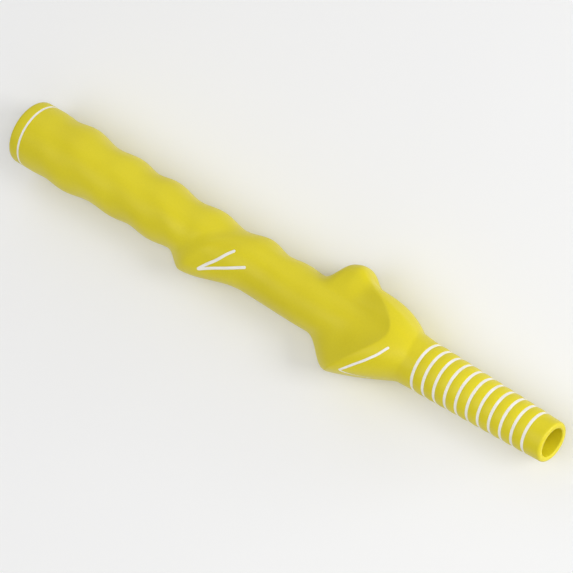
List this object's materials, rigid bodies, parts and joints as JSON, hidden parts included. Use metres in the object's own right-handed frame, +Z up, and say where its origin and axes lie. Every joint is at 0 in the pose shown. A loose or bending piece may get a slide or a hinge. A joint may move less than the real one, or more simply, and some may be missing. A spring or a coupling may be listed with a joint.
{
  "type": "golf training grip",
  "caption": "Slip-on moulded rubber golf training grip with finger waves, thumb ledge, palm collar, V marks, ringed tail and end cap.",
  "frame": {"origin": "centre of the closed end of the shaft bore, where the club shaft stops against the end cap", "axes": "+X along the bore towards its open mouth, +Z up with the thumb channel uppermost as the grip lies on a table, -Y the side with the crest that carries the V marks"},
  "size_m": [0.268, 0.0425, 0.0283],
  "materials": {
    "body_rubber": "satin moulded yellow rubber",
    "cap_rubber": "satin moulded yellow rubber, slightly harder",
    "white_infill": "matt white infill"
  },
  "bodies": {
    "root": {"grip_body": "body_rubber", "butt_cap": "cap_rubber", "butt_ring_inlay": "white_infill", "tail_ring_inlay_01": "white_infill", "tail_ring_inlay_02": "white_infill", "tail_ring_inlay_03": "white_infill", "tail_ring_inlay_04": "white_infill", "tail_ring_inlay_05": "white_infill", "tail_ring_inlay_06": "white_infill", "tail_ring_inlay_07": "white_infill", "tail_ring_inlay_08": "white_infill", "tail_ring_inlay_09": "white_infill", "tail_ring_inlay_10": "white_infill", "tail_ring_inlay_11": "white_infill", "left_hand_v_inlay": "white_infill", "right_hand_v_inlay": "white_infill"}
  },
  "joints": []
}
